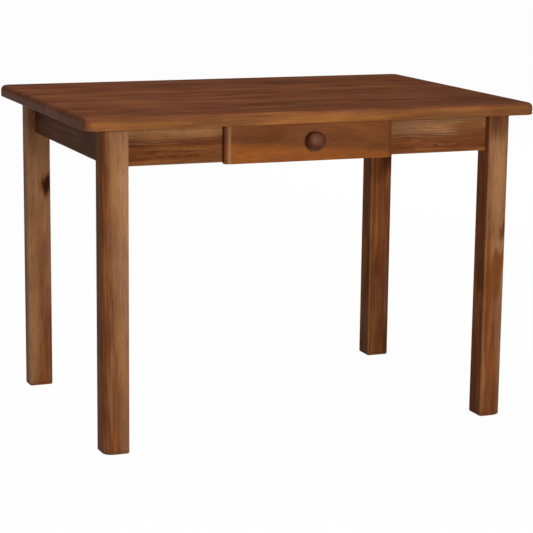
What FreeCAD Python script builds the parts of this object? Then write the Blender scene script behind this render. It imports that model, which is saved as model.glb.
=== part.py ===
# Pine tavern table with one drawer.
# X runs along the length, the front with the drawer faces -Y, Z is up.
# The origin lies on the floor, under the middle of the top. All lengths are in millimetres.
import FreeCAD, Part
import Sketcher
import os

SIZES = {
    # overall size and the top
    "table_height": 760,
    "top_length": 1100,
    "top_width": 750,
    "top_thickness": 28,
    "top_corner_radius": 24,
    "top_edge_radius": 12,
    "top_under_chamfer": 2,
    # legs
    "leg_side": 60,
    "leg_outer_radius": 25,
    "leg_arris_radius": 7,
    "foot_chamfer": 2,
    "end_overhang": 47,
    "side_overhang": 26,
    # aprons, with tenons that sit in mortises in the legs
    "apron_height": 86,
    "apron_thickness": 20,
    "apron_setback": 22,
    "apron_arris_radius": 2,
    "tenon_thickness": 10,
    "tenon_top_shoulder": 12,
    "tenon_bottom_shoulder": 8,
    "tenon_end_gap": 2,
    "wood_fit": 0.2,
    # braces across the inner corners
    "brace_foot": 32,
    "brace_height": 60,
    "brace_drop": 8,
    "brace_arris_radius": 2,
    # wooden buttons that hold the top
    "button_width": 30,
    "button_length": 36,
    "button_thickness": 18,
    "button_gap": 1.5,
    "button_rear_chamfer": 4,
    "tongue_length": 7,
    "tongue_thickness": 7,
    "tongue_drop": 9,
    "button_play": 4,
    "button_screw_inset": 20,
    "button_screw_bite": 14,
    # screws
    "screw_diameter": 4,
    "screw_head_diameter": 8,
    "screw_head_height": 3,
    "screw_clearance": 0.3,
    # drawer place and running clearances
    "drawer_offset": 14,
    "window_rail": 14,
    "drawer_clearance": 2,
    "slide_gap": 0.3,
    "front_gap": 0.4,
    # drawer front
    "front_width": 410,
    "front_thickness": 18,
    "front_top_gap": 3,
    "front_drop": 3,
    "front_bevel_width": 10,
    "front_bevel_depth": 5,
    "front_arris_radius": 2,
    # drawer box
    "box_width": 380,
    "side_length": 440,
    "side_thickness": 12,
    "side_top_radius": 3,
    "housing_depth": 6,
    "back_thickness": 12,
    "back_inset": 10,
    "back_dado": 4,
    "bottom_thickness": 5,
    "groove_depth": 5,
    "groove_height": 8,
    # turned knob and its screw
    "knob_offset": 8,
    "knob_diameter": 46,
    "knob_height": 29,
    "knob_base_diameter": 28,
    "knob_neck_diameter": 22,
    "knob_neck_height": 7,
    "knob_rim_height": 15,
    "knob_rim_width": 3.5,
    "knob_brow_diameter": 42.4,
    "knob_brow_height": 22.4,
    "knob_crown_diameter": 36,
    "knob_crown_height": 25.6,
    "knob_ring_diameter": 27,
    "knob_ring_height": 27.5,
    "knob_screw_bite": 14,
    "knob_screw_counterbore": 5,
    # drawer runners, guides, kickers and stop
    "runner_thickness": 12,
    "runner_housing": 6,
    "guide_thickness": 14,
    "guide_height": 44,
    "stop_width": 60,
    "stop_thickness": 14,
    "stop_reach": 7,
    "stop_set_back": 70,
    # how far a cut runs past the face it opens
    "overrun": 5,
}

# Widths of the glued boards of the top, front to back.
BOARD_WIDTH_SHARES = (0.13, 0.15, 0.14, 0.16, 0.14, 0.15, 0.13)
# Places of the buttons along each apron.
LONG_BUTTON_SHARES = (0.13, 0.87)
SHORT_BUTTON_SHARES = (0.5,)
QUARTER_TURN = 90
# Lengths closer than this count as equal.
TOUCH = 1e-6
UP = FreeCAD.Vector(0, 0, 1)
ALONG_X = FreeCAD.Vector(1, 0, 0)

doc = FreeCAD.newDocument("tavern_table")
sheet = doc.addObject("Spreadsheet::Sheet", "sizes")
nodes = []


class Size:
    """A length with its number and the formula of sheet cells that gives it."""

    def __init__(self, number, formula):
        self.number = number
        self.formula = formula

    def __add__(self, other):
        other = as_size(other)
        return Size(self.number + other.number, f"({self.formula} + {other.formula})")

    def __sub__(self, other):
        other = as_size(other)
        return Size(self.number - other.number, f"({self.formula} - {other.formula})")

    def __neg__(self):
        return Size(-self.number, f"(-1 * {self.formula})")

    def __mul__(self, factor):
        return Size(self.number * factor, f"({self.formula} * {factor})")

    def __truediv__(self, factor):
        return Size(self.number / factor, f"({self.formula} / {factor})")


def as_size(value):
    return value if isinstance(value, Size) else Size(value, str(value))


class Sheet:
    """The named sizes as attributes."""


size = Sheet()
for row, (alias, number) in enumerate(SIZES.items(), start=1):
    cell = f"A{row}"
    sheet.set(cell, str(number))
    sheet.setAlias(cell, alias)
    setattr(size, alias, Size(number, f"sizes.{alias}"))
doc.recompute()


# Helpers for sketches, features and places

def bind(item, name, value):
    item.setExpression(name, as_size(value).formula)


def place(item, x, y, z, turn=0, axis=UP):
    item.Placement = FreeCAD.Placement(FreeCAD.Vector(), FreeCAD.Rotation(axis, turn))
    for letter, value in zip("xyz", (x, y, z)):
        bind(item, f"Placement.Base.{letter}", value)


def new_body(label):
    return doc.addObject("PartDesign::Body", label)


def new_node(label):
    body = new_body(label)
    nodes.append(body)
    return body


def outline(body, name, plane, corners):
    """A closed sketch with straight sides through corners (x, y)."""
    sketch = body.newObject("Sketcher::SketchObject", name)
    support = [item for item in body.Origin.OriginFeatures if item.Role == plane]
    sketch.AttachmentSupport = [(support[0], "")]
    sketch.MapMode = "FlatFace"
    places = [tuple(as_size(value) for value in corner) for corner in corners]
    points = [FreeCAD.Vector(x.number, y.number, 0) for x, y in places]
    pieces = []
    for start, end in zip(points[-1:] + points, points):
        pieces.append(sketch.addGeometry(Part.LineSegment(start, end)))
    for index, piece in enumerate(pieces):
        following = pieces[(index + 1) % len(pieces)]
        sketch.addConstraint(Sketcher.Constraint("Coincident", piece, 2, following, 1))
        for kind, axis, value in zip(("DistanceX", "DistanceY"), (-2, -1), places[index]):
            if value.number == 0:
                sketch.addConstraint(Sketcher.Constraint("PointOnObject", piece, 2, axis))
                continue
            row = sketch.addConstraint(Sketcher.Constraint(kind, -1, 1, piece, 2, value.number))
            bind(sketch, f"Constraints[{row}]", value)
    return sketch


def rectangle(body, name, plane, width, height):
    return outline(body, name, plane, ((0, 0), (width, 0), (width, height), (0, height)))


def pad(body, sketch, length):
    feature = body.newObject("PartDesign::Pad", f"{sketch.Name}_pad")
    feature.Profile = sketch
    bind(feature, "Length", length)
    doc.recompute()
    return feature


def revolve(body, sketch):
    feature = body.newObject("PartDesign::Revolution", f"{sketch.Name}_turned")
    feature.Profile = sketch
    feature.ReferenceAxis = (sketch, ["V_Axis"])
    doc.recompute()
    return feature


def solid_box(body, kind, name, corner, sides):
    feature = body.newObject(f"PartDesign::{kind}Box", name)
    for side, value in zip(("Length", "Width", "Height"), sides):
        bind(feature, side, value)
    place(feature, *corner)
    return feature


def cut_box(body, name, corner, sides):
    return solid_box(body, "Subtractive", name, corner, sides)


def cut_bore(body, name, foot, diameter, depth, turn=0, axis=UP):
    feature = body.newObject("PartDesign::SubtractiveCylinder", name)
    bind(feature, "Radius", diameter / 2)
    bind(feature, "Height", depth)
    place(feature, *foot, turn, axis)
    return feature


def dress_edges(body, kind, name, value, wanted):
    """Rounds or chamfers the edges of the body's last feature that the test picks."""
    doc.recompute()
    base = body.Tip
    picked = [f"Edge{i}" for i, edge in enumerate(base.Shape.Edges, start=1) if wanted(edge)]
    feature = body.newObject(f"PartDesign::{kind}", name)
    feature.Base = (base, picked)
    bind(feature, "Radius" if kind == "Fillet" else "Size", value)
    doc.recompute()
    return feature


def same(first, second):
    return abs(first - second) < TOUCH


def is_upright(edge):
    box = edge.BoundBox
    return same(box.XLength, 0) and same(box.YLength, 0)


def is_upright_at(edge, x, y):
    box = edge.BoundBox
    return is_upright(edge) and same(box.XMin, x) and same(box.YMin, y)


def is_level_at(edge, height):
    box = edge.BoundBox
    return same(box.ZMin, height) and same(box.ZMax, height)


def group(label, master, places):
    """One node of several separate copies of a master piece, each at (x, y, z, turn)."""
    copies = []
    for index, spot in enumerate(places, start=1):
        copy = doc.addObject("App::Link", f"{label}_{index}")
        copy.setLink(master)
        copy.LinkTransform = False
        place(copy, *spot)
        copies.append(copy)
    node = doc.addObject("Part::Compound", label)
    node.Links = copies
    nodes.append(node)
    return node


# Places that several pieces share

under_top = size.table_height - size.top_thickness
leg_x = size.top_length / 2 - size.end_overhang
leg_y = size.top_width / 2 - size.side_overhang
apron_bottom = under_top - size.apron_height
apron_inset = size.apron_setback + size.apron_thickness
apron_inner_x = leg_x - apron_inset
apron_inner_y = leg_y - apron_inset
shoulder_x = leg_x - size.leg_side
shoulder_y = leg_y - size.leg_side
tenon_centre = size.apron_setback + size.apron_thickness / 2
tenon_length = size.leg_side - tenon_centre - size.tenon_thickness / 2 - size.tenon_end_gap
tenon_height = size.apron_height - size.tenon_top_shoulder - size.tenon_bottom_shoulder
leg_reach = size.leg_side - apron_inset

window_bottom = size.window_rail
window_height = size.apron_height - size.window_rail * 2
window_width = size.box_width + size.drawer_clearance * 2
box_height = window_height - size.drawer_clearance * 2
box_bottom = apron_bottom + window_bottom + size.drawer_clearance
box_top = box_bottom + box_height
box_left = -size.drawer_offset - size.box_width / 2
box_right = -size.drawer_offset + size.box_width / 2
inner_width = size.box_width - size.side_thickness * 2
front_back_y = -apron_inner_y - size.apron_thickness - size.front_gap
side_front_y = front_back_y - size.housing_depth
back_front_y = side_front_y + size.side_length - size.back_inset - size.back_thickness
bottom_z = box_bottom + size.groove_height
runner_width = size.guide_thickness + size.drawer_clearance + size.side_thickness
runner_top = box_bottom - size.slide_gap
runner_bottom = runner_top - size.runner_thickness
screw_bore = size.screw_diameter + size.screw_clearance * 2
knob_x = -size.drawer_offset + size.knob_offset
knob_z = apron_bottom + size.apron_height / 2


class Apron:
    """One side of the frame: where its apron starts, how it is turned and how long it is."""

    def __init__(self, name, x, y, turn, along, inward, length, button_shares):
        self.name = name
        self.x = x
        self.y = y
        self.turn = turn
        self.along = along
        self.inward = inward
        self.length = length
        self.button_places = [length * share for share in button_shares]

    def spot(self, along, inward):
        """The point this far along the inner face and this far in from it."""
        x = self.x + along * self.along[0] + inward * self.inward[0]
        y = self.y + along * self.along[1] + inward * self.inward[1]
        return x, y


FRONT = Apron("front", -shoulder_x, -apron_inner_y, 0, (1, 0), (0, 1),
              shoulder_x * 2, LONG_BUTTON_SHARES)
RIGHT = Apron("right", apron_inner_x, -shoulder_y, QUARTER_TURN, (0, 1), (-1, 0),
              shoulder_y * 2, SHORT_BUTTON_SHARES)
BACK = Apron("back", shoulder_x, apron_inner_y, QUARTER_TURN * 2, (-1, 0), (0, -1),
             shoulder_x * 2, LONG_BUTTON_SHARES)
LEFT = Apron("left", -apron_inner_x, shoulder_y, -QUARTER_TURN, (0, -1), (1, 0),
             shoulder_y * 2, SHORT_BUTTON_SHARES)
APRONS = (FRONT, RIGHT, BACK, LEFT)


# The top: a glued panel with a rounded upper edge, cut into its boards

def make_top():
    blank = new_body("top_panel")
    plan = rectangle(blank, "top_plan", "XY_Plane", size.top_length, size.top_width)
    pad(blank, plan, size.top_thickness)
    dress_edges(blank, "Fillet", "top_corners", size.top_corner_radius, is_upright)
    dress_edges(blank, "Fillet", "top_upper_edge", size.top_edge_radius,
                lambda edge: is_level_at(edge, size.top_thickness.number))
    dress_edges(blank, "Chamfer", "top_lower_edge", size.top_under_chamfer,
                lambda edge: is_level_at(edge, 0))
    for apron in APRONS:
        for index, along in enumerate(apron.button_places, start=1):
            x, y = apron.spot(along, size.button_gap + size.button_screw_inset)
            foot = (x + size.top_length / 2, y + size.top_width / 2, 0)
            cut_bore(blank, f"top_bore_{apron.name}_{index}", foot, screw_bore,
                     size.button_screw_bite + size.screw_clearance)
    place(blank, -size.top_length / 2, -size.top_width / 2, under_top)
    front = -size.top_width / 2
    for index, share in enumerate(BOARD_WIDTH_SHARES, start=1):
        width = size.top_width * share
        slice_box = doc.addObject("Part::Box", f"board_slice_{index}")
        bind(slice_box, "Length", size.top_length)
        bind(slice_box, "Width", width)
        bind(slice_box, "Height", size.top_thickness)
        place(slice_box, -size.top_length / 2, front, under_top)
        board = doc.addObject("Part::Common", f"top_board_{index}")
        board.Base = blank
        board.Tool = slice_box
        nodes.append(board)
        front = front + width


# Legs: square, with the outer corner well rounded and two mortises for the tenons

def make_leg(label, x, y, turn):
    leg = new_node(label)
    pad(leg, rectangle(leg, f"{label}_plan", "XY_Plane", size.leg_side, size.leg_side), under_top)
    dress_edges(leg, "Fillet", f"{label}_outer_corner", size.leg_outer_radius,
                lambda edge: is_upright_at(edge, 0, 0))
    side = size.leg_side.number
    corners = ((side, 0), (side, side), (0, side))
    dress_edges(leg, "Fillet", f"{label}_arrises", size.leg_arris_radius,
                lambda edge: any(is_upright_at(edge, x, y) for x, y in corners))
    dress_edges(leg, "Chamfer", f"{label}_foot", size.foot_chamfer,
                lambda edge: is_level_at(edge, 0))
    across = tenon_centre - size.tenon_thickness / 2 - size.wood_fit
    inward = size.leg_side - tenon_length - size.wood_fit
    up = apron_bottom + size.tenon_bottom_shoulder - size.wood_fit
    wide = size.tenon_thickness + size.wood_fit * 2
    deep = tenon_length + size.wood_fit + size.overrun
    tall = tenon_height + size.wood_fit * 2
    cut_box(leg, f"{label}_mortise_x", (inward, across, up), (deep, wide, tall))
    cut_box(leg, f"{label}_mortise_y", (across, inward, up), (wide, deep, tall))
    place(leg, x, y, 0, turn)


# Aprons: boards on edge with a tenon at each end and slots for the buttons

def make_apron(apron):
    label = f"{apron.name}_apron"
    board = new_node(label)
    face = rectangle(board, f"{label}_face", "XZ_Plane", apron.length, size.apron_height)
    pad(board, face, size.apron_thickness)
    dress_edges(board, "Fillet", f"{label}_lower_arrises", size.apron_arris_radius,
                lambda edge: is_level_at(edge, 0) and same(edge.BoundBox.YLength, 0))
    solid_box(board, "Additive", f"{label}_tenons",
              (-tenon_length, -(size.apron_thickness + size.tenon_thickness) / 2,
               size.tenon_bottom_shoulder),
              (apron.length + tenon_length * 2, size.tenon_thickness, tenon_height))
    slot_width = size.button_width + size.button_play * 2
    slot_depth = size.tongue_length + size.wood_fit
    slot_bottom = size.apron_height - size.tongue_drop - size.tongue_thickness - size.wood_fit
    for index, along in enumerate(apron.button_places, start=1):
        cut_box(board, f"{label}_slot_{index}", (along - slot_width / 2, -slot_depth, slot_bottom),
                (slot_width, slot_depth + size.overrun, size.tongue_thickness + size.wood_fit * 2))
    if apron in (FRONT, BACK):
        cut_runner_housings(board, label, apron)
    if apron is FRONT:
        cut_drawer_window(board, label)
    place(board, apron.x, apron.y, apron_bottom, apron.turn)


def cut_runner_housings(board, label, apron):
    for hand in ("left", "right"):
        x = runner_x(hand)
        along = x + shoulder_x if apron is FRONT else shoulder_x - x - runner_width
        cut_box(board, f"{label}_{hand}_housing",
                (along - size.wood_fit, -size.runner_housing - size.wood_fit,
                 runner_bottom - apron_bottom - size.wood_fit),
                (runner_width + size.wood_fit * 2,
                 size.runner_housing + size.wood_fit + size.overrun,
                 size.runner_thickness + size.wood_fit * 2))


def cut_drawer_window(board, label):
    left = shoulder_x - size.drawer_offset - window_width / 2
    cut_box(board, f"{label}_window",
            (left, -size.apron_thickness - size.overrun, window_bottom),
            (window_width, size.apron_thickness + size.overrun * 2, window_height))


# Braces: trapezoid blocks glued across the inner corners behind the legs

def make_brace(label, x, y, turn):
    brace = new_node(label)
    near = leg_reach * 2
    far = near + size.brace_foot
    plan = outline(brace, f"{label}_plan", "XY_Plane", ((near, 0), (far, 0), (0, far), (0, near)))
    pad(brace, plan, size.brace_height)
    dress_edges(brace, "Fillet", f"{label}_arrises", size.brace_arris_radius,
                lambda edge: is_level_at(edge, 0)
                and same(edge.BoundBox.XLength, edge.BoundBox.YLength))
    place(brace, x, y, under_top - size.brace_drop - size.brace_height, turn)


# Buttons: blocks whose tongues sit in the apron slots, with a screw up into the top

def make_buttons():
    button = new_body("button")
    tongue_top = size.button_thickness - size.tongue_drop
    tongue_bottom = tongue_top - size.tongue_thickness
    nose = size.tongue_length
    rear = nose + size.button_length
    profile = outline(button, "button_profile", "YZ_Plane", (
        (nose, 0), (rear, 0), (rear, size.button_thickness), (nose, size.button_thickness),
        (nose, tongue_top), (0, tongue_top), (0, tongue_bottom), (nose, tongue_bottom)))
    pad(button, profile, size.button_width)
    dress_edges(button, "Chamfer", "button_rear_arris", size.button_rear_chamfer,
                lambda edge: is_level_at(edge, 0) and same(edge.BoundBox.YMin, rear.number))
    foot = (size.button_width / 2, nose + size.button_screw_inset, 0)
    cut_bore(button, "button_bore", foot, screw_bore, size.button_thickness)
    spots = []
    screw_spots = []
    for apron in APRONS:
        for along in apron.button_places:
            x, y = apron.spot(along - size.button_width / 2, size.button_gap - nose)
            spots.append((x, y, under_top - size.button_thickness, apron.turn))
            x, y = apron.spot(along, size.button_gap + size.button_screw_inset)
            screw_spots.append((x, y, under_top - size.button_thickness - size.screw_head_height))
    group("top_buttons", button, spots)
    screw = make_screw("button_screw", size.button_thickness + size.button_screw_bite)
    group("button_screws", screw, screw_spots)


def make_screw(label, length):
    """A wood screw that points up, with its length below the head."""
    screw = new_body(label)
    head = size.screw_head_diameter / 2
    shank = size.screw_diameter / 2
    profile = outline(screw, f"{label}_profile", "XZ_Plane", (
        (head, 0), (head, size.screw_head_height), (shank, size.screw_head_height),
        (shank, size.screw_head_height + length), (0, size.screw_head_height + length), (0, 0)))
    revolve(screw, profile)
    return screw


# Drawer front: a thick board with bevelled ends that overlaps the apron

def make_drawer_front():
    front = new_node("drawer_front")
    wide, deep = size.front_width, size.front_thickness
    bevel, step = size.front_bevel_width, size.front_bevel_depth
    plan = outline(front, "front_plan", "XY_Plane", (
        (bevel, 0), (wide - bevel, 0), (wide, step), (wide, deep), (0, deep), (0, step)))
    height = size.apron_height - size.front_top_gap + size.front_drop
    pad(front, plan, height)
    dress_edges(front, "Fillet", "front_arrises", size.front_arris_radius,
                lambda edge: (is_level_at(edge, 0) or is_level_at(edge, height.number))
                and not same(edge.BoundBox.YMin, deep.number))
    low = box_bottom - apron_bottom + size.front_drop
    housing_y = deep - size.housing_depth
    left = (wide - size.box_width) / 2
    right = left + size.box_width - size.side_thickness
    for hand, x in (("left", left), ("right", right)):
        cut_box(front, f"front_housing_{hand}", (x - size.wood_fit, housing_y, low - size.wood_fit),
                (size.side_thickness + size.wood_fit * 2, size.housing_depth + size.overrun,
                 box_height + size.wood_fit * 2))
    cut_box(front, "front_groove",
            (left + size.side_thickness, deep - size.groove_depth,
             low + size.groove_height - size.wood_fit),
            (inner_width, size.groove_depth + size.overrun,
             size.bottom_thickness + size.wood_fit * 2))
    bore_start = (wide / 2 + size.knob_offset, deep + size.overrun,
                  knob_z - apron_bottom + size.front_drop)
    cut_bore(front, "knob_bore", bore_start, screw_bore, deep + size.overrun * 2,
             QUARTER_TURN, ALONG_X)
    cut_bore(front, "knob_sink", bore_start, size.screw_head_diameter + size.screw_clearance * 2,
             size.knob_screw_counterbore + size.overrun, QUARTER_TURN, ALONG_X)
    place(front, -size.drawer_offset - wide / 2, front_back_y - deep, apron_bottom - size.front_drop)


# Drawer sides: housed in the front, grooved for the bottom and cut across for the back

def make_drawer_side(hand):
    label = f"drawer_side_{hand}"
    side = new_node(label)
    thick = size.side_thickness
    pad(side, rectangle(side, f"{label}_plan", "XY_Plane", thick, size.side_length), box_height)
    dress_edges(side, "Fillet", f"{label}_upper_arrises", size.side_top_radius,
                lambda edge: is_level_at(edge, box_height.number)
                and same(edge.BoundBox.XLength, 0))
    groove_x = thick - size.groove_depth if hand == "left" else -size.overrun
    dado_x = thick - size.back_dado if hand == "left" else -size.overrun
    cut_box(side, f"{label}_groove",
            (groove_x, 0, size.groove_height - size.wood_fit),
            (size.groove_depth + size.overrun, size.side_length,
             size.bottom_thickness + size.wood_fit * 2))
    cut_box(side, f"{label}_dado",
            (dado_x, back_front_y - side_front_y - size.wood_fit, size.groove_height),
            (size.back_dado + size.overrun, size.back_thickness + size.wood_fit * 2, box_height))
    x = box_left if hand == "left" else box_right - thick
    place(side, x, side_front_y, box_bottom)


def make_drawer_back():
    back = new_node("drawer_back")
    length = inner_width + size.back_dado * 2 - size.wood_fit * 2
    height = box_height - size.groove_height - size.bottom_thickness - size.wood_fit
    pad(back, rectangle(back, "back_plan", "XY_Plane", length, size.back_thickness), height)
    dress_edges(back, "Fillet", "back_upper_arrises", size.side_top_radius,
                lambda edge: is_level_at(edge, height.number) and same(edge.BoundBox.YLength, 0))
    place(back, -size.drawer_offset - length / 2, back_front_y, box_top - height)


def make_drawer_bottom():
    bottom = new_node("drawer_bottom")
    width = inner_width + (size.groove_depth - size.wood_fit) * 2
    front_reach = size.groove_depth - size.wood_fit
    length = size.side_length - size.housing_depth + front_reach
    notch = size.groove_depth + size.wood_fit
    pad(bottom, rectangle(bottom, "bottom_plan", "XY_Plane", width, length), size.bottom_thickness)
    for hand, x in (("left", -size.overrun), ("right", width - notch)):
        cut_box(bottom, f"bottom_notch_{hand}", (x, -size.overrun, -size.overrun),
                (notch + size.overrun, front_reach + size.wood_fit + size.overrun,
                 size.bottom_thickness + size.overrun * 2))
    place(bottom, -size.drawer_offset - width / 2, front_back_y - front_reach, bottom_z)


# Knob: one turned piece with a cove, a full brow and a ring turned on its face

def make_knob():
    knob = new_node("drawer_knob")
    ring = size.knob_ring_diameter / 2
    profile = outline(knob, "knob_profile", "XY_Plane", (
        (0, 0),
        (size.knob_base_diameter / 2, 0),
        (size.knob_neck_diameter / 2, size.knob_neck_height),
        (size.knob_diameter / 2, size.knob_rim_height),
        (size.knob_diameter / 2, size.knob_rim_height + size.knob_rim_width),
        (size.knob_brow_diameter / 2, size.knob_brow_height),
        (size.knob_crown_diameter / 2, size.knob_crown_height),
        (ring, size.knob_ring_height),
        (ring, size.knob_height),
        (0, size.knob_height)))
    revolve(knob, profile)
    cut_bore(knob, "knob_pilot", (0, -size.overrun, 0), screw_bore,
             size.knob_screw_bite + size.screw_clearance + size.overrun, -QUARTER_TURN, ALONG_X)
    place(knob, knob_x, front_back_y - size.front_thickness, knob_z, QUARTER_TURN * 2)
    length = size.front_thickness + size.knob_screw_bite - size.knob_screw_counterbore
    screw = make_screw("knob_screw", length)
    nodes.append(screw)
    place(screw, knob_x, front_back_y - size.knob_screw_counterbore + size.screw_head_height,
          knob_z, QUARTER_TURN, ALONG_X)


# Runners, guides and kickers that carry the drawer between the front and back aprons

def runner_x(hand):
    reach = size.drawer_clearance + size.guide_thickness
    return box_left - reach if hand == "left" else box_right - size.side_thickness


def make_drawer_track(hand):
    x = runner_x(hand)
    between = apron_inner_y * 2
    runner = new_node(f"drawer_runner_{hand}")
    plan = rectangle(runner, f"runner_{hand}_plan", "XY_Plane", runner_width,
                     between + size.runner_housing * 2)
    pad(runner, plan, size.runner_thickness)
    place(runner, x, -apron_inner_y - size.runner_housing, runner_bottom)

    guide = new_node(f"drawer_guide_{hand}")
    pad(guide, rectangle(guide, f"guide_{hand}_plan", "XY_Plane", size.guide_thickness, between),
        size.guide_height)
    guide_x = x if hand == "left" else x + runner_width - size.guide_thickness
    place(guide, guide_x, -apron_inner_y, runner_top)

    kicker = new_node(f"drawer_kicker_{hand}")
    pad(kicker, rectangle(kicker, f"kicker_{hand}_plan", "XY_Plane", runner_width, between),
        size.window_rail)
    place(kicker, x, -apron_inner_y, under_top - size.window_rail)


def make_drawer_stop():
    stop = new_node("drawer_stop")
    plan = rectangle(stop, "stop_plan", "XY_Plane", size.stop_width, size.stop_thickness)
    pad(stop, plan, under_top - box_top + size.stop_reach)
    place(stop, -size.drawer_offset - size.stop_width / 2, -apron_inner_y + size.stop_set_back,
          box_top - size.stop_reach)


make_top()
CORNERS = (("front_left", -1, -1, 0), ("front_right", 1, -1, QUARTER_TURN),
           ("back_right", 1, 1, QUARTER_TURN * 2), ("back_left", -1, 1, -QUARTER_TURN))
for corner, x_side, y_side, turn in CORNERS:
    make_leg(f"leg_{corner}", leg_x * x_side, leg_y * y_side, turn)
    make_brace(f"brace_{corner}", apron_inner_x * x_side, apron_inner_y * y_side, turn)
for apron in APRONS:
    make_apron(apron)
make_buttons()
make_drawer_front()
for hand in ("left", "right"):
    make_drawer_side(hand)
    make_drawer_track(hand)
make_drawer_back()
make_drawer_bottom()
make_knob()
make_drawer_stop()

doc.recompute()
for item in doc.Objects:
    if "Invalid" in item.State or "Error" in item.State:
        raise RuntimeError(f"{item.Label} did not compute: {item.State}")
for node in nodes:
    if node.Shape.isNull() or not node.Shape.isValid():
        raise RuntimeError(f"{node.Label} has no valid shape")

os.makedirs("parts", exist_ok=True)
for node in nodes:
    node.Shape.exportStep(f"parts/{node.Label}.step")
travel = back_front_y + apron_inner_y - size.stop_set_back - size.stop_thickness
print("drawer travel to the stop", round(travel.number, 1))
print("nodes", len(nodes))
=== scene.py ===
# Pine tavern table with one drawer, dressed and lit.
# X runs along the length, the front with the drawer faces -Y, Z is up. Lengths are in metres.
import itertools
import math

import bmesh
import bpy
from mathutils import Euler, Matrix, Vector


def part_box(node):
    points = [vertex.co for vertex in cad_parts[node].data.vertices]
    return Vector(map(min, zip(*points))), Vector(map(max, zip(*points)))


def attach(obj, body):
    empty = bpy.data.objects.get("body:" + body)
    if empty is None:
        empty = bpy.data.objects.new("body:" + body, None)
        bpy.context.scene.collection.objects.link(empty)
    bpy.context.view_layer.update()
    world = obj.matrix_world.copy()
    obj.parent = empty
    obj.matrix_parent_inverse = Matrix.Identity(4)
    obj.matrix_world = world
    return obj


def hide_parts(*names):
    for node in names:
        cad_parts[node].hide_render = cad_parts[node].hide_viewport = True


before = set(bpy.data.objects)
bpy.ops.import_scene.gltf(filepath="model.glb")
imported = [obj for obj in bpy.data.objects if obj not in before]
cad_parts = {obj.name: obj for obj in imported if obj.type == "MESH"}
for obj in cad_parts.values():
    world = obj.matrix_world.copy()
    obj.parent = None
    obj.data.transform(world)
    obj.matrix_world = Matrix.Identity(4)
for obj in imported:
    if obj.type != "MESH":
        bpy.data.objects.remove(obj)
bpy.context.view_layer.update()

MM = 0.001
FULL_TURN = 2 * math.pi
QUARTER_TURN = math.pi / 2

# Finishes of pine as sRGB hex values: sapwood, heartwood, amber and pale streaks, summer wood, knots,
# end grain, and worn arrises; their pale worn tint also paints a highlight along the arrises and on the
# knob's face
FRAME_STAIN = {"sap": "946a49", "heart": "714022", "amber": "8c5a30", "pale": "9c7457", "late": "4f2814",
               "knot": "2e150d", "end": "5b3320", "worn_and_highlit": "a97c55"}
TOP_STAIN = {"sap": "80522e", "heart": "7c4a32", "amber": "8c5428", "pale": "8d5c40", "late": "65351b",
             "knot": "32180e", "end": "4e2c1f", "worn_and_highlit": "9c6a42"}
DRAWER_STAIN = {"sap": "864c20", "heart": "6e4022", "amber": "8a4f1f", "pale": "815030", "late": "643415",
                "knot": "32180e", "end": "5b3320", "worn_and_highlit": "a5795a"}
# The knob's pale worn tint is a painted highlight on its face
KNOB_STAIN = {"sap": "532b1b", "heart": "4a2618", "amber": "5a321d", "pale": "5a3626", "late": "33170f",
              "knot": "2e150d", "end": "4a251a", "worn_and_highlit": "9c664c"}
BARE = {"sap": "dcb98a", "heart": "cfa574", "amber": "e0b878", "pale": "e4cba4", "late": "b98a58",
        "knot": "7d4a26", "end": "c79a66", "worn_and_highlit": "e6cda6"}

# Growth of the pine logs. Fibres and resin flecks are drawn several times as wide as real ones, to show.
RING_WIDTH = 3.4 * MM
CLOUDS = {
    "wander": {"width": 60 * MM, "stretch": 8, "detail": 2},
    "ripple": {"width": 16 * MM, "stretch": 4, "detail": 1},
    "streak": {"width": 13 * MM, "stretch": 26, "detail": 3},
    "fibre": {"width": 2.4 * MM, "stretch": 34, "detail": 3},
    "fleck": {"width": 2.0 * MM, "stretch": 9, "detail": 0},
    "blotch": {"width": 48 * MM, "stretch": 3.2, "detail": 2},
}
WANDER_DEPTH = 11 * MM
RIPPLE_DEPTH = 6 * MM
LOG_STEP = 2.7
HEART_BLUR = 8 * MM
KNOT_PUSH = 15 * MM
KNOT_DEPTH = 60 * MM
KNOT_STRETCH = 1.6
KNOT_FEATHER = 90 * MM
END_DEPTH = 12 * MM
# Pale arrises, partly rubbed wear and partly a painted highlight, and the patches they come and go in
WEAR_AND_HIGHLIGHT_START = 1.5 * MM
WEAR_AND_HIGHLIGHT_END = 5 * MM
WEAR_AND_HIGHLIGHT_PATCH = 40 * MM
GRAIN_RELIEF = 0.12 * MM
# A ring wave repeats every tenth of a half turn.
WAVE_PERIOD = FULL_TURN / 20
# Where each pattern starts and ends in its noise or wave. Most of a noise lies in its middle.
NOISE_MIDDLE = (0.3, 0.7)
AMBER_STREAK = (0.5, 0.68)
PALE_STREAK = (0.46, 0.32)
SUMMER_WOOD = (0.2, 0.95)
SUMMER_STREAK = (0.3, 0.6)
RESIN_FLECK = (0.68, 0.78)
KNOT_HALO = (0.01, 0.4)
KNOT_CORE = (0.28, 0.5)
# How strongly each shows
SUMMER_LEAST = 0.35
FIBRE_SHARE = 0.4
FLECK_SHARE = 0.4
END_SHARE = 0.6
WEAR_AND_HIGHLIGHT_DETAIL = 3
SHEEN_DROP = 0.05
SHEEN_RISE = 0.08
RELIEF_SHARE = 0.35

GRAIN_TURN = {"X": Euler((0, 0, 0)), "Y": Euler((0, 0, QUARTER_TURN)), "Z": Euler((0, -QUARTER_TURN, 0))}


# Colours and nodes

def linear(colour, tone=1.0):
    """An sRGB hex value as linear light, made lighter or darker by a tone."""
    channels = []
    for start in (0, 2, 4):
        value = int(colour[start:start + 2], 16) / 255
        value = value / 12.92 if value <= 0.04045 else ((value + 0.055) / 1.055) ** 2.4
        channels.append(value * tone)
    return (*channels, 1)


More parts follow.
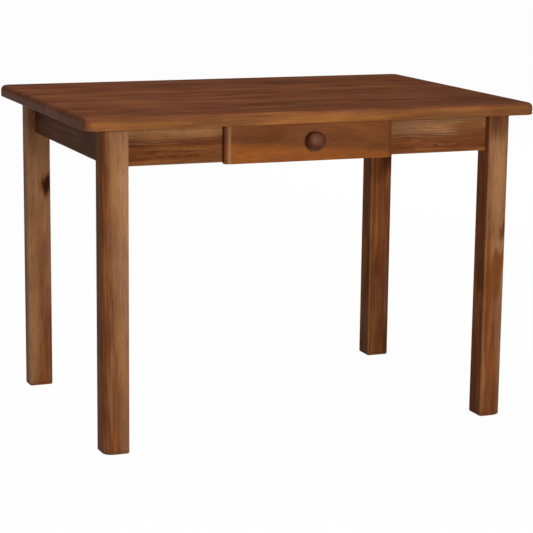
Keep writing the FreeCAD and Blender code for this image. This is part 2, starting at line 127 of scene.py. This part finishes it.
def add_node(tree, kind, inputs, **settings):
    """Adds a node. Each input is a value to set or an output to link."""
    node = tree.nodes.new(f"ShaderNode{kind}")
    for name, value in settings.items():
        setattr(node, name, value)
    for key, value in inputs.items():
        if isinstance(value, bpy.types.NodeSocket):
            tree.links.new(value, node.inputs[key])
        else:
            node.inputs[key].default_value = value
    return node


def new_material(name):
    material = bpy.data.materials.new(name)
    material.use_nodes = True
    material.node_tree.nodes.clear()
    return material, material.node_tree


# Pine: a solid log with growth rings round its pith, so faces, edges and end grain agree.
# The stain gives the eye soft tawny streaks, a darker heart, faint ring lines and a satin sheen.

def pine(name, finish, box, number, grain, pith, heart, tilt=(0, 0), tone=1.0, figure=0.4, streaks=0.5,
         blotches=0.8, knots_and_painted_spots=(), wear_and_highlight=0.0, arris=None, gloss=0.5, shine=0.015):
    """Pine cut from its own log. Pith is an offset in mm from the middle of the box, across the grain.

    Heart is the radius in mm of the dark heartwood. Figure, streaks and blotches say how strongly rings,
    streaks and uneven stain show. A knot, or a spot of painted highlight, is (point in mm, radius in mm, axis
    of the face it shows on, tint and strength of its halo, strength of its core). Wear is on the edges of the
    box, or on one upright arris at its X in mm; the paler arrises it gives are partly rubbed wear and partly
    painted highlight.
    """
    material, tree = new_material(name)
    low, high = box
    middle = (low + high) / 2
    along = "XYZ".index(grain)
    turn = GRAIN_TURN[grain].copy()
    turn.rotate_axis("Y", math.radians(tilt[0]))
    turn.rotate_axis("Z", math.radians(tilt[1]))
    spot = add_node(tree, "TexCoord", {}).outputs["Object"]
    log = add_node(tree, "Mapping", {"Vector": spot, "Location": middle + Vector(pith) * MM,
                                     "Rotation": turn}, vector_type="TEXTURE").outputs[0]
    clouds = {}
    for cloud, size in CLOUDS.items():
        drawn = add_node(tree, "VectorMath", {0: log, 1: (1 / size["stretch"], 1, 1),
                                              2: (LOG_STEP * number, 0, 0)}, operation="MULTIPLY_ADD")
        noise = add_node(tree, "TexNoise", {"Vector": drawn.outputs[0], "Scale": 1 / size["width"],
                                            "Detail": size["detail"]})
        clouds[cloud] = noise.outputs
    streak = clouds["streak"]["Fac"]
    fibre = clouds["fibre"]["Fac"]

    # Rings wander along the log and bend round knots and painted highlight spots, whose stain is ragged along
    # the grain
    bent = log
    for cloud, depth in (("wander", WANDER_DEPTH), ("ripple", RIPPLE_DEPTH)):
        bent = add_node(tree, "VectorMath", {0: clouds[cloud]["Color"], 1: (0, depth, depth), 2: bent},
                        operation="MULTIPLY_ADD").outputs[0]
    feather = Vector()
    feather[along] = KNOT_FEATHER
    ragged = add_node(tree, "VectorMath", {0: clouds["streak"]["Color"], 1: feather, 2: spot},
                      operation="MULTIPLY_ADD").outputs[0]
    stains = []
    for point, radius, face, halo, halo_share, core_share in knots_and_painted_spots:
        reach = Vector((radius, radius, radius)) * MM
        reach[along] *= KNOT_STRETCH
        reach["XYZ".index(face)] = KNOT_DEPTH
        knot = add_node(tree, "Mapping", {"Vector": ragged, "Location": Vector(point) * MM + feather / 2,
                                          "Scale": reach}, vector_type="TEXTURE")
        swell = add_node(tree, "TexGradient", {"Vector": knot.outputs[0]}, gradient_type="QUADRATIC_SPHERE")
        bent = add_node(tree, "VectorMath", {0: swell.outputs["Color"], 1: (0, KNOT_PUSH, KNOT_PUSH),
                                             2: bent}, operation="MULTIPLY_ADD").outputs[0]
        for tint, (outer, inner), share in ((halo, KNOT_HALO, halo_share), ("knot", KNOT_CORE, core_share)):
            stain = add_node(tree, "MapRange", {0: swell.outputs["Fac"], 1: outer, 2: inner, 3: 0, 4: share},
                             interpolation_type="SMOOTHSTEP")
            stains.append((stain.outputs[0], tint))

    # Heartwood inside its radius, amber and pale streaks along the grain
    across = add_node(tree, "VectorMath", {0: bent, 1: (0, 1, 1)}, operation="MULTIPLY")
    radius = add_node(tree, "VectorMath", {0: across.outputs[0]}, operation="LENGTH").outputs["Value"]
    border = heart * MM
    old = add_node(tree, "MapRange", {0: radius, 1: border - HEART_BLUR, 2: border + HEART_BLUR, 3: 1, 4: 0},
                   interpolation_type="SMOOTHSTEP").outputs[0]
    colour = add_node(tree, "Mix", {0: old, 6: linear(finish["sap"], tone),
                                    7: linear(finish["heart"], tone)}, data_type="RGBA").outputs[2]
    for tint, (start, end) in (("amber", AMBER_STREAK), ("pale", PALE_STREAK)):
        share = add_node(tree, "MapRange", {0: streak, 1: start, 2: end, 3: 0, 4: streaks},
                         interpolation_type="SMOOTHSTEP").outputs[0]
        colour = add_node(tree, "Mix", {0: share, 6: colour, 7: linear(finish[tint], tone)},
                          data_type="RGBA").outputs[2]

    # Summer wood darkens the end of each ring, more in some streaks than in others
    rings = add_node(tree, "TexWave", {"Vector": bent, "Scale": WAVE_PERIOD / RING_WIDTH},
                     wave_type="RINGS", rings_direction="X", wave_profile="SAW").outputs["Fac"]
    late = add_node(tree, "MapRange", {0: rings, 1: SUMMER_WOOD[0], 2: SUMMER_WOOD[1], 3: 0, 4: figure},
                    interpolation_type="SMOOTHSTEP").outputs[0]
    strong = add_node(tree, "MapRange", {0: streak, 1: SUMMER_STREAK[0], 2: SUMMER_STREAK[1], 3: 1,
                                         4: SUMMER_LEAST}).outputs[0]
    line = add_node(tree, "Math", {0: late, 1: strong}, operation="MULTIPLY").outputs[0]
    colour = add_node(tree, "Mix", {0: line, 6: colour, 7: linear(finish["late"], tone)},
                      data_type="RGBA").outputs[2]

    # Fibres, patches where the stain took more or less, resin flecks
    for shade, share in ((fibre, FIBRE_SHARE), (streak, streaks), (clouds["blotch"]["Fac"], blotches)):
        colour = add_node(tree, "Mix", {0: share, 6: colour, 7: shade}, data_type="RGBA",
                          blend_type="SOFT_LIGHT").outputs[2]
    fleck = add_node(tree, "MapRange", {0: clouds["fleck"]["Fac"], 1: RESIN_FLECK[0], 2: RESIN_FLECK[1],
                                        3: 0, 4: FLECK_SHARE}).outputs[0]

    # End grain drinks more stain, and knots and painted highlight spots lie over it
    from_middle = add_node(tree, "VectorMath", {0: spot, 1: middle}, operation="SUBTRACT").outputs[0]
    apart = add_node(tree, "VectorMath", {0: from_middle}, operation="ABSOLUTE").outputs[0]
    inset = add_node(tree, "VectorMath", {0: (high - low) / 2, 1: apart}, operation="SUBTRACT").outputs[0]
    sides = add_node(tree, "SeparateXYZ", {0: inset}).outputs
    ends = add_node(tree, "MapRange", {0: sides[along], 1: 0, 2: END_DEPTH, 3: END_SHARE, 4: 0},
                    interpolation_type="SMOOTHSTEP").outputs[0]
    layers = [(fleck, "late"), (ends, "end"), *stains]

    # Arrises paler in places, partly rubbed wear and partly a painted highlight: the second smallest distance
    # to the faces of the box is small there
    if wear_and_highlight:
        if arris is None:
            least = add_node(tree, "Math", {0: sides[0], 1: sides[1]}, operation="MINIMUM").outputs[0]
            most = add_node(tree, "Math", {0: sides[0], 1: sides[1]}, operation="MAXIMUM").outputs[0]
            other = add_node(tree, "Math", {0: most, 1: sides[2]}, operation="MINIMUM").outputs[0]
            edge = add_node(tree, "Math", {0: least, 1: other}, operation="MAXIMUM").outputs[0]
        else:
            sideways = add_node(tree, "SeparateXYZ", {0: spot}).outputs[0]
            past = add_node(tree, "Math", {0: sideways, 1: arris * MM}, operation="SUBTRACT").outputs[0]
            edge = add_node(tree, "Math", {0: past}, operation="ABSOLUTE").outputs[0]
        rubbed_and_highlit_patches = add_node(tree, "TexNoise", {"Vector": spot, "Scale": 1 / WEAR_AND_HIGHLIGHT_PATCH,
                                          "Detail": WEAR_AND_HIGHLIGHT_DETAIL}).outputs["Fac"]
        near = add_node(tree, "MapRange", {0: edge, 1: WEAR_AND_HIGHLIGHT_START, 2: WEAR_AND_HIGHLIGHT_END, 3: wear_and_highlight, 4: 0},
                        interpolation_type="SMOOTHSTEP").outputs[0]
        worn_and_highlit = add_node(tree, "Math", {0: near, 1: rubbed_and_highlit_patches}, operation="MULTIPLY").outputs[0]
        layers.append((worn_and_highlit, "worn_and_highlit"))
    for share, tint in layers:
        colour = add_node(tree, "Mix", {0: share, 6: colour, 7: linear(finish[tint], tone)},
                          data_type="RGBA").outputs[2]

    # Summer wood stands a little proud under the finish, and fibres break up the sheen
    rough = add_node(tree, "MapRange", {0: fibre, 1: NOISE_MIDDLE[0], 2: NOISE_MIDDLE[1],
                                        3: gloss - SHEEN_DROP, 4: gloss + SHEEN_RISE})
    relief = add_node(tree, "Math", {0: fibre, 1: late}, operation="SUBTRACT")
    bump = add_node(tree, "Bump", {"Strength": RELIEF_SHARE, "Distance": GRAIN_RELIEF,
                                   "Height": relief.outputs[0]})
    shader = add_node(tree, "BsdfPrincipled", {"Base Color": colour, "Roughness": rough.outputs[0],
                                               "Normal": bump.outputs[0], "Specular IOR Level": shine})
    add_node(tree, "OutputMaterial", {"Surface": shader.outputs[0]})
    return material


# Plywood: rotary cut birch veneers, so the faces have a wide cloudy figure and the edges show the plies

PLY = 1.25 * MM
PLY_TINTS = ("d9b885", "c39a63")
PLY_ROUGHNESS = (0.62, 0.74)
PLY_SHINE = 0.3
PLY_RELIEF = 0.3
VENEER_STRETCH = 9
VENEER_DETAIL = 3
VENEER_BEND = 0.6
# Width of the cloudy figure and of its fine lines, and how strongly each shows
VENEER_FIGURE = ((26 * MM, 0.9), (3 * MM, 0.5))


def plywood():
    material, tree = new_material("birch_plywood")
    spot = add_node(tree, "TexCoord", {}).outputs["Object"]
    plies = add_node(tree, "TexWave", {"Vector": spot, "Scale": WAVE_PERIOD / (2 * PLY)},
                     bands_direction="Z").outputs["Fac"]
    colour = add_node(tree, "Mix", {0: plies, 6: linear(PLY_TINTS[0]), 7: linear(PLY_TINTS[1])},
                      data_type="RGBA").outputs[2]
    drawn = add_node(tree, "VectorMath", {0: spot, 1: (1 / VENEER_STRETCH, 1, 1)}, operation="MULTIPLY")
    for width, share in VENEER_FIGURE:
        figure = add_node(tree, "TexNoise", {"Vector": drawn.outputs[0], "Scale": 1 / width,
                                             "Detail": VENEER_DETAIL,
                                             "Distortion": VENEER_BEND}).outputs["Fac"]
        colour = add_node(tree, "Mix", {0: share, 6: colour, 7: figure}, data_type="RGBA",
                          blend_type="SOFT_LIGHT").outputs[2]
    rough = add_node(tree, "MapRange", {0: figure, 1: NOISE_MIDDLE[0], 2: NOISE_MIDDLE[1],
                                        3: PLY_ROUGHNESS[0], 4: PLY_ROUGHNESS[1]})
    bump = add_node(tree, "Bump", {"Strength": PLY_RELIEF, "Distance": GRAIN_RELIEF, "Height": figure})
    shader = add_node(tree, "BsdfPrincipled", {"Base Color": colour, "Roughness": rough.outputs[0],
                                               "Normal": bump.outputs[0], "Specular IOR Level": PLY_SHINE})
    add_node(tree, "OutputMaterial", {"Surface": shader.outputs[0]})
    return material


# Zinc plated steel: a bright bluish metal with cloudy passivation and fine tumbling marks. Both are drawn
# coarser than real ones, to show.

ZINC_TINTS = ("b9bcc0", "d8d6cc")
ZINC_ROUGHNESS = (0.26, 0.42)
ZINC_CLOUD = {"width": 3 * MM, "detail": 2}
ZINC_MARK = {"width": 0.5 * MM, "detail": 1}


def zinc_steel():
    material, tree = new_material("zinc_plated_steel")
    spot = add_node(tree, "TexCoord", {}).outputs["Object"]
    cloud, mark = [add_node(tree, "TexNoise", {"Vector": spot, "Scale": 1 / size["width"],
                                               "Detail": size["detail"]}).outputs["Fac"]
                   for size in (ZINC_CLOUD, ZINC_MARK)]
    colour = add_node(tree, "Mix", {0: cloud, 6: linear(ZINC_TINTS[0]), 7: linear(ZINC_TINTS[1])},
                      data_type="RGBA").outputs[2]
    rough = add_node(tree, "MapRange", {0: mark, 1: NOISE_MIDDLE[0], 2: NOISE_MIDDLE[1],
                                        3: ZINC_ROUGHNESS[0], 4: ZINC_ROUGHNESS[1]})
    shader = add_node(tree, "BsdfPrincipled", {"Base Color": colour, "Metallic": 1,
                                               "Roughness": rough.outputs[0]})
    add_node(tree, "OutputMaterial", {"Surface": shader.outputs[0]})
    return material


# Turned pieces

SEAM = 0.001 * MM


def turn_profile(profile, steps):
    """A closed turned shell round Z through (radius, height) points in mm."""
    shape = bmesh.new()
    points = [shape.verts.new((radius * MM, 0, height * MM)) for radius, height in profile]
    lines = [shape.edges.new(pair) for pair in zip(points, points[1:])]
    bmesh.ops.spin(shape, geom=points + lines, axis=(0, 0, 1), cent=(0, 0, 0), angle=FULL_TURN, steps=steps,
                   use_merge=True)
    bmesh.ops.remove_doubles(shape, verts=shape.verts, dist=SEAM)
    bmesh.ops.recalc_face_normals(shape, faces=shape.faces)
    return shape


def face_front(shape, box):
    """Turns a shape that stands up from the origin, so that it stands out from the back of a box."""
    low, high = box
    seat = Vector(((low.x + high.x) / 2, high.y, (low.z + high.z) / 2))
    facing = Matrix.Translation(seat) @ Matrix.Rotation(QUARTER_TURN, 4, "X")
    bmesh.ops.transform(shape, matrix=facing, verts=shape.verts)


def add_piece(name, shape, material, body, slot, *nodes):
    """Makes a smooth piece of a shape that stands for CAD nodes and rides on a body."""
    mesh = bpy.data.meshes.new(name)
    for face in shape.faces:
        face.smooth = True
    shape.to_mesh(mesh)
    shape.free()
    mesh.materials.append(material)
    piece = bpy.data.objects.new(name, mesh)
    bpy.context.scene.collection.objects.link(piece)
    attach(piece, body)
    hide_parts(*nodes)
    return piece


# Screws: domed heads with a cross recess, plain shanks and a point

SCREW_HEAD = ((0, 0), (1.4, 0.05), (2.6, 0.25), (3.4, 0.7), (3.85, 1.4), (4, 2.2), (4, 2.8), (3.8, 3),
              (2, 3))
SCREW_SHANK = 2
SCREW_POINT = 5
SCREW_STEPS = 32
RECESS_WIDTH = 0.9
RECESS_REACH = 2.3
RECESS_DEPTH = 1.6
RECESS_TAPER = 0.6
SHARP_TURN = math.radians(35)
BUTTON_SCREW_SPOTS = ((-327.8, -285.5), (327.8, -285.5), (439.5, 0),
                      (327.8, 285.5), (-327.8, 285.5), (-439.5, 0))


def screw_shape(length):
    """A screw that points up from the crown of its head, with a length in mm."""
    shape = turn_profile((*SCREW_HEAD, (SCREW_SHANK, length - SCREW_POINT), (0, length)), SCREW_STEPS)
    half = RECESS_WIDTH / 2 * MM
    reach = RECESS_REACH * MM
    for across in (Vector((1, 0, 0)), Vector((0, 1, 0))):
        for distance in (-reach, -half, half, reach):
            bmesh.ops.bisect_plane(shape, geom=shape.verts[:] + shape.edges[:] + shape.faces[:], dist=SEAM,
                                   plane_co=across * distance, plane_no=across)
    cross = []
    for face in shape.faces:
        middle = face.calc_center_median()
        near, far = sorted((abs(middle.x), abs(middle.y)))
        if middle.z < RECESS_WIDTH * MM and near < half and far < reach:
            cross.append(face)
    sunk = bmesh.ops.extrude_face_region(shape, geom=cross)["geom"]
    bmesh.ops.delete(shape, geom=cross, context="FACES")
    floor = [corner for corner in sunk if isinstance(corner, bmesh.types.BMVert)]
    bmesh.ops.scale(shape, verts=floor, vec=(RECESS_TAPER, RECESS_TAPER, 0))
    bmesh.ops.translate(shape, verts=floor, vec=(0, 0, RECESS_DEPTH * MM))
    bmesh.ops.recalc_face_normals(shape, faces=shape.faces)
    return shape


def make_screws(material):
    low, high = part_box("button_screws")
    shape = screw_shape((high.z - low.z) / MM)
    pattern = shape.verts[:] + shape.edges[:] + shape.faces[:]
    for x, y in BUTTON_SCREW_SPOTS:
        copy = bmesh.ops.duplicate(shape, geom=pattern)["geom"]
        corners = [corner for corner in copy if isinstance(corner, bmesh.types.BMVert)]
        bmesh.ops.translate(shape, verts=corners, vec=(x * MM, y * MM, low.z))
    bmesh.ops.delete(shape, geom=pattern, context="VERTS")
    screws = add_piece("cross_head_button_screws", shape, material, "table", "screw_steel", "button_screws")
    screws.data.set_sharp_from_angle(angle=SHARP_TURN)

    low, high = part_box("knob_screw")
    shape = screw_shape((high.y - low.y) / MM)
    face_front(shape, (low, high))
    screw = add_piece("cross_head_knob_screw", shape, material, "drawer", "screw_steel", "knob_screw")
    screw.data.set_sharp_from_angle(angle=SHARP_TURN)


# Knob: turned in one piece, with a foot, a cove, a full rounded brow and a ring round its face

KNOB_PROFILE = ((0, 0), (13.4, 0), (14, 0.5), (14, 2.2), (13.6, 2.9), (12.4, 3.6), (11.6, 5.2), (11.6, 6.6),
                (13, 8.6), (16, 10.4), (20, 12), (22, 13.6), (22.6, 15.6), (22.2, 18.2), (20.6, 21.6),
                (17.8, 24.4), (15, 26), (14, 26.2), (13.4, 25.8), (12.8, 26), (12.4, 27), (11.2, 27.9),
                (6, 28.8), (0, 29))
KNOB_STEPS = 40
KNOB_SMOOTHING = 2


def make_knob(material):
    shape = turn_profile(KNOB_PROFILE, KNOB_STEPS)
    face_front(shape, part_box("drawer_knob"))
    knob = add_piece("turned_knob", shape, material, "drawer", "knob_pine", "drawer_knob")
    smoothing = knob.modifiers.new("smoothing", "SUBSURF")
    smoothing.levels = KNOB_SMOOTHING
    smoothing.render_levels = KNOB_SMOOTHING


# Studio: a pale floor that shows white and keeps a soft shadow, one soft key near the camera and weak fills

FLOOR_REACH = 500
FLOOR_LEVEL = -0.3 * MM
FLOOR_WHITE = 0.98
FLOOR_TINT = "f4f4f4"
WALL_TINT = "d3d5d9"
WALL_LIGHT = 0.08
TABLE_MIDDLE = Vector((0, 0, 0.45))
LAMPS = {
    "key": {"place": (-0.1, -4.4, 1.2), "side": 1.2, "power": 125, "colour": "fffdf8"},
    "left_fill": {"place": (-4.0, -1.0, 1.6), "side": 0.8, "power": 3, "colour": "dfe8ff"},
    "overhead": {"place": (-0.9, -0.2, 3.2), "side": 2.4, "power": 54, "colour": "ffffff"},
    "right_fill": {"place": (4.2, -0.3, 1.7), "side": 2.4, "power": 14, "colour": "ffffff"},
    "back_fill": {"place": (3.4, 3.6, 0.36), "side": 0.8, "power": 195, "colour": "ffffff"},
}


def lay_floor():
    material, tree = new_material("pale_studio_floor")
    pale = add_node(tree, "BsdfDiffuse", {"Color": linear(FLOOR_TINT)})
    white = add_node(tree, "Emission", {"Color": (1, 1, 1, 1), "Strength": 1})
    path = add_node(tree, "LightPath", {}).outputs
    seen = path["Is Camera Ray"]
    for other in ("Is Transmission Ray", "Is Glossy Ray"):
        seen = add_node(tree, "Math", {0: seen, 1: path[other]}, operation="MAXIMUM").outputs[0]
    share = add_node(tree, "Math", {0: seen, 1: FLOOR_WHITE}, operation="MULTIPLY")
    mixed = add_node(tree, "MixShader", {0: share.outputs[0], 1: pale.outputs[0], 2: white.outputs[0]})
    add_node(tree, "OutputMaterial", {"Surface": mixed.outputs[0]})
    mesh = bpy.data.meshes.new("studio_floor")
    shape = bmesh.new()
    bmesh.ops.create_grid(shape, x_segments=1, y_segments=1, size=FLOOR_REACH,
                          matrix=Matrix.Translation((0, 0, FLOOR_LEVEL)))
    shape.to_mesh(mesh)
    shape.free()
    mesh.materials.append(material)
    floor = bpy.data.objects.new("studio_floor", mesh)
    bpy.context.scene.collection.objects.link(floor)


def light_studio():
    world = bpy.data.worlds.new("studio")
    bpy.context.scene.world = world
    world.use_nodes = True
    tree = world.node_tree
    tree.nodes.clear()
    walls = add_node(tree, "Background", {"Color": linear(WALL_TINT), "Strength": WALL_LIGHT})
    add_node(tree, "OutputWorld", {"Surface": walls.outputs[0]})
    for name, look in LAMPS.items():
        lamp = bpy.data.lights.new(name, "AREA")
        lamp.size = look["side"]
        lamp.energy = look["power"]
        lamp.color = linear(look["colour"])[:3]
        holder = bpy.data.objects.new(name, lamp)
        holder.location = look["place"]
        holder.rotation_euler = (TABLE_MIDDLE - holder.location).to_track_quat("-Z", "Y").to_euler()
        bpy.context.scene.collection.objects.link(holder)


# Camera at the photograph's angle: heading from the front, dip and roll

CAMERA_PLACE = Vector((-1.6732, -4.1623, 1.2372))
CAMERA_LENS = 125.352
CAMERA_HEADING = math.radians(22.18)
CAMERA_DIP = math.radians(11.4)
CAMERA_ROLL = math.radians(0.683)


def set_camera():
    lens = bpy.data.cameras.new("photo_camera")
    lens.lens = CAMERA_LENS
    camera = bpy.data.objects.new("photo_camera", lens)
    bpy.context.scene.collection.objects.link(camera)
    ahead = Vector((math.sin(CAMERA_HEADING) * math.cos(CAMERA_DIP),
                    math.cos(CAMERA_HEADING) * math.cos(CAMERA_DIP), -math.sin(CAMERA_DIP)))
    level = Vector((math.cos(CAMERA_HEADING), -math.sin(CAMERA_HEADING), 0))
    right = level * math.cos(CAMERA_ROLL) + level.cross(ahead) * math.sin(CAMERA_ROLL)
    turn = Matrix((right, right.cross(ahead), -ahead)).transposed()
    camera.matrix_world = Matrix.LocRotScale(CAMERA_PLACE, turn, None)
    bpy.context.scene.camera = camera


# Stained pieces: grain, pith offset, heart radius, tilt, tone, figure, knots and painted highlight spots, and
# worn arrises with a painted highlight along them

TOP_BOARDS = {
    "top_board_1": {"pith": (0, 50, 100), "heart": 120, "tilt": (0.1, 0.2), "tone": 0.95},
    "top_board_2": {"pith": (0, -25, -90), "heart": 150, "tilt": (-0.5, 0.3), "tone": 0.93},
    "top_board_3": {"pith": (0, 40, 120), "heart": 180, "tilt": (0.3, -0.7), "tone": 1.08},
    "top_board_4": {"pith": (0, -10, -130), "heart": 190, "tilt": (0.6, 0.4), "tone": 0.97},
    "top_board_5": {"pith": (0, 35, -95), "heart": 160, "tilt": (-0.4, -0.5), "tone": 1.06},
    "top_board_6": {"pith": (0, -30, 110), "heart": 170, "tilt": (0.5, 0.5), "tone": 0.94},
    "top_board_7": {"pith": (0, 20, -120), "heart": 180, "tilt": (-0.3, 0.6), "tone": 1.03},
}
TOP_LOOK = {"grain": "X", "figure": 0.5, "streaks": 0.75, "blotches": 0.7, "gloss": 0.5, "shine": 0.03}
LEG_LOOK = {"grain": "Z", "figure": 0.15}
FRAME_PIECES = {
    "leg_front_left": {**LEG_LOOK, "pith": (-40, 60, 0), "heart": 87, "tilt": (0.3, 1.5), "wear_and_highlight": 0.5},
    "leg_front_right": {**LEG_LOOK, "pith": (-50, 60, 0), "heart": 90, "tilt": (0.2, 2.0), "wear_and_highlight": 0.7,
                        # The last spot darkens the top of the leg's front, just below the table top
                        "knots_and_painted_spots": (((492, -349, 452), 26, "Y", "heart", 0.8, 0.15),
                                  ((480, -349, 379), 30, "Y", "heart", 0.7, 0),
                                  ((443, -331, 339), 46, "X", "late", 0.6, 0.1),
                                  ((460, -349, 340), 50, "Y", "heart", 0.6, 0),
                                  ((465, -349, 730), 60, "Y", "late", 0.5, 0.1))},
    "leg_back_right": {**LEG_LOOK, "pith": (-35, 60, 0), "heart": 150, "tilt": (0.7, -0.6), "tone": 1.12,
                       "wear_and_highlight": 0.9,
                       "knots_and_painted_spots": (((490, 289, 536), 42, "Y", "late", 0.56, 0.4),
                                 ((462, 289, 502), 34, "Y", "late", 0.4, 0))},
    "leg_back_left": {**LEG_LOOK, "pith": (20, 70, 0), "heart": 90, "tilt": (0.2, 1.6), "tone": 1.22,
                      "wear_and_highlight": 0.5,
                      "knots_and_painted_spots": (((-453, 289, 514), 30, "Y", "late", 0.7, 0.9),)},
    "front_apron": {"grain": "X", "pith": (0, 50, -19), "heart": 64, "tilt": (0.3, 0.5), "tone": 0.88,
                    "figure": 0.75, "wear_and_highlight": 0.6,
                    "knots_and_painted_spots": (((-312, -327, 676), 46, "Y", "late", 0.16, 0),
                              ((238, -327, 708), 40, "Y", "pale", 0.15, 0),
                              ((410, -327, 690), 60, "Y", "heart", 0.7, 0))},
    "back_apron": {"grain": "X", "pith": (0, -40, -60), "heart": 105, "tilt": (-0.4, 0.5), "wear_and_highlight": 0.5},
    # The left apron's low tone is partly its stain and partly painted shade, because the left side falls in
    # shade
    "left_apron": {"grain": "Y", "pith": (45, 0, -65), "heart": 150, "tilt": (0.5, -0.4), "tone": 0.7,
                   "wear_and_highlight": 0.4},
    "right_apron": {"grain": "Y", "pith": (-45, 0, 70), "heart": 110, "tilt": (-0.5, 0.4), "tone": 0.97,
                    "wear_and_highlight": 0.5},
}
# The pale line along the drawer front's left arris is partly wear and partly a painted highlight
DRAWER_FRONT_LOOK = {"grain": "X", "pith": (0, 60, 110), "heart": 128, "tilt": (2.0, -5.0), "figure": 0.2,
                     "streaks": 0.2, "blotches": 0.6, "wear_and_highlight": 0.9, "arris": -209, "shine": 0.04}
# The knob's one spot is a painted highlight: a pale patch on its face, a little off its middle
KNOB_LOOK = {"grain": "Y", "pith": (9, 0, -14), "heart": 60, "figure": 0.3, "gloss": 0.3, "shine": 0.08,
             "knots_and_painted_spots": (((-9, -374, 696), 27, "Y", "worn_and_highlit", 0.22, 0),)}

# Bare pieces by the way their grain runs
BARE_PIECES = {
    "X": ("drawer_back", "drawer_stop"),
    "Y": ("drawer_side_left", "drawer_side_right", "drawer_runner_left", "drawer_runner_right",
          "drawer_guide_left", "drawer_guide_right", "drawer_kicker_left", "drawer_kicker_right",
          "top_buttons"),
    "Z": ("brace_front_left", "brace_front_right", "brace_back_right", "brace_back_left"),
}
BARE_LOOK = {"pith": (35, 40, 45), "heart": 20, "gloss": 0.6}


def finish_node(node, material):
    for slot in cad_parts[node].material_slots:
        slot.material = material


logs = itertools.count(1)
for node, look in TOP_BOARDS.items():
    finish_node(node, pine(f"stained_pine_{node}", TOP_STAIN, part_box(node), next(logs), **TOP_LOOK, **look))
for node, look in FRAME_PIECES.items():
    finish_node(node, pine(f"stained_pine_{node}", FRAME_STAIN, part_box(node), next(logs), **look))
for grain, nodes in BARE_PIECES.items():
    for node in nodes:
        finish_node(node, pine(f"bare_pine_{node}", BARE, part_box(node), next(logs), grain, **BARE_LOOK))
finish_node("drawer_bottom", plywood())
make_screws(zinc_steel())
finish_node("drawer_front", pine("stained_pine_drawer_front", DRAWER_STAIN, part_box("drawer_front"),
                                 next(logs), **DRAWER_FRONT_LOOK))
make_knob(pine("stained_pine_knob", KNOB_STAIN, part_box("drawer_knob"), next(logs), **KNOB_LOOK))

lay_floor()
light_studio()
set_camera()
bpy.context.scene.view_settings.view_transform = "Standard"
